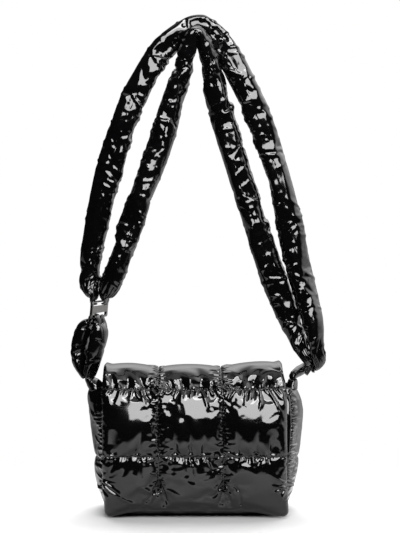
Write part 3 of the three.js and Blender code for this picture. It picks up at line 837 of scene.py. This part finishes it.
# Spots along a strand: place, half width and half thickness
OUTER_STRAND = (
    (-132.7, -4.5, 272.5, 9.3, 5), (-136, 2, 280.5, 12.5, 10.5), (-138.5, 7, 291, 14, 13),
    (-138, 9, 306, 14, 12.6), (-128.5, 6, 360, 14.5, 14), (-105, 3, 452, 14.5, 14),
    (-70.5, 1, 543, 14.5, 12.8), (-54.5, 2, 570, 13, 12.6), (-32, 4, 597.5, 10.5, 14.6),
    (-17, 6.5, 611.5, 9.5, 12.4), (1.2, 8, 622, 9, 9.8), (18, 6.5, 610.5, 9.5, 12.2),
    (31.3, 4, 592.5, 10.5, 13.6), (57.5, 1, 543, 14.5, 13.5), (94, 0, 452, 14.5, 14),
    (118, -4, 360, 15, 15), (131.8, -9, 298, 15, 15), (140.3, -14, 266, 14, 13.5),
    (146.5, -20, 237, 14, 13), (150.5, -25, 212, 10.5, 8.6), (154.8, -24, 195, 9.5, 6.6),
    (156, -17.5, 187, 8.8, 4.6),
)
INNER_STRAND = (
    (-117.4, 2, 272.2, 9.5, 7), (-115.4, 0.5, 277.6, 11.5, 11.6), (-112, -1, 286, 13, 13.7),
    (-106.6, -3, 298.5, 13.5, 13.8), (-97, -5, 324, 13.5, 12.8), (-85.5, -5, 360, 14.5, 14),
    (-52.8, -2, 452, 14.5, 14), (-21.8, 0, 543, 14.5, 13), (-10.6, -4, 574, 14, 11.9),
    (-5.2, -9, 596, 12, 10), (-1.8, -12, 609.5, 10.5, 6.5), (1.4, -12.5, 613.5, 10, 5),
    (4.6, -12, 609.5, 10.5, 6.5), (8.6, -9, 596, 12, 10), (13, -4, 574, 14, 11.3),
    (20.2, 0, 543, 14.5, 13.5), (48.2, 0, 452, 14.5, 14), (76.3, 0, 360, 14.5, 14),
    (109.5, -1, 268, 14.5, 14), (121, -2, 237, 13.5, 12.5), (135, -14, 207, 11, 7.5),
    (144.5, -16.5, 192.5, 9, 4.5),
)
# Deep kinks at the seam of a strand: which leg (left or right), height, depth, and lean of the crease
OUTER_KINKS = (
    (-1, 575, 3.4, 10), (-1, 507, 3, -9), (-1, 470, 2.4, 8), (-1, 410, 1.4, -8), (-1, 330, 1.6, 9),
    (-1, 296, 2.2, -4), (1, 578, 2.6, -10), (1, 508, 2.6, 9), (1, 470, 2.4, -8), (1, 366, 2.2, 7),
    (1, 318, 1.4, -8), (1, 262, 2, 8),
)
INNER_KINKS = (
    (-1, 549, 2.2, -9), (-1, 484, 2.6, 9), (-1, 445, 2, -8), (-1, 390, 1.8, 8), (-1, 350, 2.2, -9),
    (1, 511, 2.8, 5), (1, 472, 1.6, -8), (1, 400, 1.8, 9), (1, 359, 2.6, -6), (1, 300, 1.6, 8),
    (1, 246, 2.2, -6),
)
# How far the front of a strand looks down where it hangs, and from what height up
OUTER_HANG, INNER_HANG, HANG_HEIGHTS = 0.62, 0.15, (565.0, 600.0)
DEPTH_WAY, UP_WAY = Vector((0.0, 1.0, 0.0)), Vector((0.0, 0.0, 1.0))
# Where a strap lies on the thin bar of a ring: half width, and how far along the bar from its middle
OUTER_LAP, INNER_LAP, RIGHT_LAP = (6.5, -9.0), (6.5, 8.0), (8.5, -1.0)
KINK_ASIDE, KINK_ALONG = 6.0, 2.4  # how far from the seam and from a kink's middle the cloth is held
# Valleys of a kink: how far past its middle one lies, where it begins and ends beside the seam, how it leans
# (each half its own way, and both one way), its width and its depth
KINK_VALLEYS = ((0, -8, 26, 2.4, 0, 4.4, 1.2), (11, 7, 27, 0, -1.6, 2.6, 0.5))
# Puckers of a strand, by spacing, reach and height: on its seam, at the top, and both ways from its flat ends
SEAM_PUCKERS = ((6, 30, 0.8), (14, 42, 1.1))
TOP_PUCKERS, END_PUCKERS, LAP_PUCKERS = (11, 80, 1.6), (5, 50, 1.9), (7, 16, 1.2)
TOP_GAP, LAP_LENGTH = 4.0, 17.0
# Creases across a strand, by spacing, span, depth and width: all along, at the top, and low on the left
LONG_CREASES, TOP_CREASES, LOW_CREASES = (8, 36, 1.35, 2.1), (17, 50, 1.8, 3), (7, 30, 1.5, 2.2)
TOP_REACH, LOW_SHARE = 75.0, 0.22


def lap_rows(ring, side, end, wide, shift):
    """A flat strap from the middle of a ring's slot round the thin bar: centre, wide axis, half sizes."""
    slot = (RING_PLATE + RING_SLOT) / 2
    bar = RING_PLATE / 2 + RING_SLOT + RING_ROD / 2
    lap = ((0.15, slot, 1.5), (2.2, slot, 1.6), (4.8, slot + 2, 1.8), (5.4, bar + 2.4, 2.4))
    return [(ring.at(side * out, end * up, shift), ring.along, wide, thick) for out, up, thick in lap]


def tube_spine(rows):
    """The middle line of a tube with its wide axis and half sizes, by the length run along it."""
    centres = np.array([row[0] for row in rows])
    gaps = np.linalg.norm(np.diff(centres, axis=0), axis=1)
    run = np.concatenate([[0.0], np.cumsum(gaps)])
    table = [(key, *row[0], *row[1], row[2], row[3]) for key, row in zip(run, rows)]
    return smooth_table(table), float(run[-1])


def stuffed_tube(name, rows, sides, step, girth):
    """A closed tube bent along its rows. Its cloth keeps the length run along it and the way round it."""
    spine, length = tube_spine(rows)
    stations, near = round(length / step), 0.5
    tube = bmesh.new()
    pattern_u = tube.verts.layers.float.new("pattern_u")
    pattern_v = tube.verts.layers.float.new("pattern_v")
    bmesh.ops.create_cone(tube, cap_ends=True, segments=sides, radius1=1.0, radius2=1.0, depth=1.0)
    uprights = [e for e in tube.edges if abs(e.verts[0].co.z - e.verts[1].co.z) > 0.5]
    bmesh.ops.subdivide_edges(tube, edges=uprights, cuts=stations - 1)
    lines = []
    for vertex in tube.verts:
        run = min(max(vertex.co.z + 0.5, 0.0), 1.0) * length
        turn = math.atan2(vertex.co.y, vertex.co.x)
        here = spine(run)
        ahead, back = spine(min(run + near, length)), spine(max(run - near, 0.0))
        tangent = Vector((ahead - back)[:3]).normalized()
        across = Vector(here[3:6])
        across = (across - tangent * across.dot(tangent)).normalized()
        out = tangent.cross(across)
        spot = Vector(here[:3]) + across * (math.cos(turn) * here[6]) + out * (math.sin(turn) * here[7])
        vertex[pattern_u], vertex[pattern_v] = run, turn / math.tau * girth
        lines.append((run, turn))
        vertex.co = in_frame(*spot)
    bmesh.ops.recalc_face_normals(tube, faces=tube.faces)
    return add_object(name, tube, nylon), lines, length


def gathers(dice, root, girth, way, sort):
    """Puckers that leave a line round a tube."""
    return puckers(dice, (root, -girth / 2), (root, girth / 2), (way, 0.0), *sort)


def creases(dice, start, end, girth, spacing, span, depth, width):
    """Folds that run across a tube: valleys of some depth, at uneven spacing, leaning either way."""
    folds = []
    place = start + dice.uniform(0.0, spacing)
    while place < end:
        middle = dice.uniform(-girth / 2, girth / 2)
        half = span * dice.uniform(0.5, 1.0) / 2 * dice.choice([-1.0, 1.0])
        lean = dice.normal(0.0, 0.35) * abs(half)
        folds.append((place - lean, middle - half, place + lean, middle + half,
                      width * dice.uniform(0.7, 1.3), -depth * dice.uniform(0.5, 1.0)))
        place += spacing * dice.uniform(0.6, 1.4)
    return folds


def kink_folds(rows, kinks, seam):
    """Deep valleys across the seam of a strand, each in two halves that run round to its front and its back,
    and the lengths along the strand where they are."""
    spine, length = tube_spine(rows)
    folds, places = [], []
    for leg, height, depth, lean in kinks:
        runs = np.linspace(0.0, length / 2, 300) + (length / 2 if leg > 0 else 0.0)
        run = min(runs, key=lambda place: abs(spine(place)[2] - height))
        places.append(run)
        for way in (-1, 1):
            for past, begin, end, turned, plain, width, share in KINK_VALLEYS:
                tip = run + past + way * turned * lean + plain * lean
                folds.append((run + past, seam + way * begin, tip, seam + way * end, width, -share * depth))
    return folds, np.array(places)


def strand(name, node, table, kinks, side, hang, dice):
    """One strand from ring to ring: the outer (side 1) or the inner one (side -1)."""
    rows = []
    for x, y, z, wide, thick in table:
        ring = left_ring if x < 0 else right_ring
        turned = smooth_step(z - ring.centre.z, 0.0, TWIST_HEIGHT)
        across = ring.along.lerp(DEPTH_WAY, turned) + UP_WAY * hang * smooth_step(z, *HANG_HEIGHTS)
        rows.append((Vector((x, y, z)), across, wide, thick))
    left_lap = OUTER_LAP if side > 0 else INNER_LAP
    rows = lap_rows(left_ring, -side, 1, *left_lap) + rows + lap_rows(right_ring, side, 1, *RIGHT_LAP)[::-1]
    girth = STRAND_GIRTH
    seam = -side * girth / 4
    made, lines, length = stuffed_tube(name, rows, STRAND_SIDES, STRAND_STEP, girth)
    low, high, top = STRAND_END, length - STRAND_END, length / 2
    valleys, kink_runs = kink_folds(rows, kinks, seam)
    press_folds(made, valleys, girth)
    held = []
    for run, turn in lines:
        on_seam = abs(math.remainder(turn / math.tau * girth - seam, girth)) < KINK_ASIDE
        at_kink = np.min(np.abs(kink_runs - run)) < KINK_ALONG
        held.append(on_seam and at_kink or run < low or run > high)
    blow_out(made, held, [STRAND_SLACK] * len(lines), pressure=0.4, frames=8)
    refine(made, times=1)
    folds = []
    for way in (-1, 1):
        for sort in SEAM_PUCKERS:
            folds += puckers(dice, (low, seam), (high, seam), (0.0, way), *sort)
    for way in (-1, 1):
        folds += gathers(dice, top - way * TOP_GAP, girth, way, TOP_PUCKERS)
    for root, way in ((LAP_LENGTH, 1.0), (length - LAP_LENGTH, -1.0)):
        folds += gathers(dice, root, girth, way, END_PUCKERS)
    folds += creases(dice, low, high, girth, *LONG_CREASES)
    folds += creases(dice, top - TOP_REACH, top + TOP_REACH, girth, *TOP_CREASES)
    for root, way in ((LAP_LENGTH, -1.0), (length - LAP_LENGTH, 1.0)):
        folds += gathers(dice, root, girth, way, LAP_PUCKERS)
    folds += creases(dice, low, LOW_SHARE * length, girth, *LOW_CREASES)
    press_folds(made, folds, girth)
    hand_in(made, node)


strand("strap_strand_outer", "strap_outer", OUTER_STRAND, OUTER_KINKS, side=1, hang=OUTER_HANG,
       dice=default_rng(41))
strand("strap_strand_inner", "strap_inner", INNER_STRAND, INNER_KINKS, side=-1, hang=INNER_HANG,
       dice=default_rng(42))

# Loops and tabs: a short stuffed band ties each ring to a gathered tab on the gusset. The left one hangs as a
# double teardrop, and the right one is twisted into a thin neck.
GATHER_PAST, GATHERS_ROUND = 3.0, 12  # how far past its ends the gathers of a band begin, and how many
# Creases of a band: where along it, spacing, span to its girth, depth to its gathers, and width
BAND_CREASED, BAND_STEP, BAND_SPAN, BAND_DEPTH, BAND_WIDTH = (0.1, 0.9), 6.0, 0.6, 0.8, 2.0
# Spots along the left loop: drop under its ring, how far out and aside it hangs, half width and thickness
LEFT_LOOP = (
    (16, 6.8, 2, 12, 4.6), (23, 9.8, 5, 14, 9), (43, 12.3, 9, 14, 10.5), (60, 11, 10.5, 13, 9.2),
    (77, 6.6, 9, 12, 6), (88, 2.4, 5.6, 10, 1.8),
)
# Spots along the right loop and the tabs: place, half width and half thickness
RIGHT_LOOP = (
    (122.6, 0, 166.6, 8, 3.6), (122.7, 0.2, 169, 7.5, 4.4), (128.5, 9, 173.5, 8, 6.2),
    (136, 19, 176.5, 9, 6.4), (147, 27, 182, 12, 4.5), (155, 18, 186, 14, 3.5),
)
LEFT_TAB = (
    (-129, 0, 154, 17, 9), (-130.5, 0, 157.5, 16, 9.5), (-135.5, 0, 163, 13, 7.5),
    (-138.5, 0, 167, 11, 5.4), (-139, 0, 169.5, 10.5, 4.8),
)
RIGHT_TAB = (
    (122, 0, 154, 16, 6.5), (122, 0, 157.5, 15, 7), (122.4, 0, 162.5, 12, 6.5), (122.6, 0, 166.5, 9, 5.2),
)


def gathered_band(name, node, rows, sides, step, girth, reach, height, dice):
    """A tube gathered at both ends, with long folds that run out of the gathers."""
    made, _, length = stuffed_tube(name, rows, sides, step, girth)
    folds = []
    for root, way in ((-GATHER_PAST, 1.0), (length + GATHER_PAST, -1.0)):
        folds += gathers(dice, root, girth, way, (girth / GATHERS_ROUND, reach, height))
    low, high = BAND_CREASED
    folds += creases(dice, low * length, high * length, girth, BAND_STEP, BAND_SPAN * girth,
                     BAND_DEPTH * height, BAND_WIDTH)
    refine(made, times=1)
    press_folds(made, folds, girth)
    hand_in(made, node)


def loop_layer(side):
    """The outer (-1) or the inner (1) layer of the left loop, from its ring down."""
    rows = []
    for drop, out, sway, wide, thick in LEFT_LOOP:
        centre = left_ring.at(side * out, -drop)
        centre += Vector((-sway, left_ring.up.y * drop, 0.0))
        rows.append((centre, left_ring.along, wide, thick))
    return rows


outer_lap = lap_rows(left_ring, -1, -1, *OUTER_LAP)[:0:-1]
inner_lap = lap_rows(left_ring, 1, -1, *OUTER_LAP)[1:]
gathered_band("short_loop_left", "loop_left", loop_layer(-1)[::-1] + outer_lap + inner_lap + loop_layer(1),
              sides=28, step=1.8, girth=60.0, reach=80.0, height=2.2, dice=default_rng(51))
neck = []
for index, (x, y, z, wide, thick) in enumerate(RIGHT_LOOP):
    turned = index / (len(RIGHT_LOOP) - 1)
    neck.append((Vector((x, y, z)), (-DEPTH_WAY).lerp(right_ring.along, turned), wide, thick))
outer_lap = lap_rows(right_ring, 1, -1, *RIGHT_LAP)[:0:-1]
inner_lap = lap_rows(right_ring, -1, -1, *RIGHT_LAP)[1:]
gathered_band("short_loop_right", "loop_right", neck + outer_lap + inner_lap,
              sides=28, step=1.5, girth=42.0, reach=40.0, height=0.7, dice=default_rng(52))
for name, node, table, seed in (
        ("gathered_tab_left", "tab_left", LEFT_TAB, 53), ("gathered_tab_right", "tab_right", RIGHT_TAB, 54)):
    rows = [(Vector(row[:3]), DEPTH_WAY, *row[3:]) for row in table]
    gathered_band(name, node, rows, sides=40, step=0.9, girth=60.0, reach=14.0, height=0.6,
                  dice=default_rng(seed))
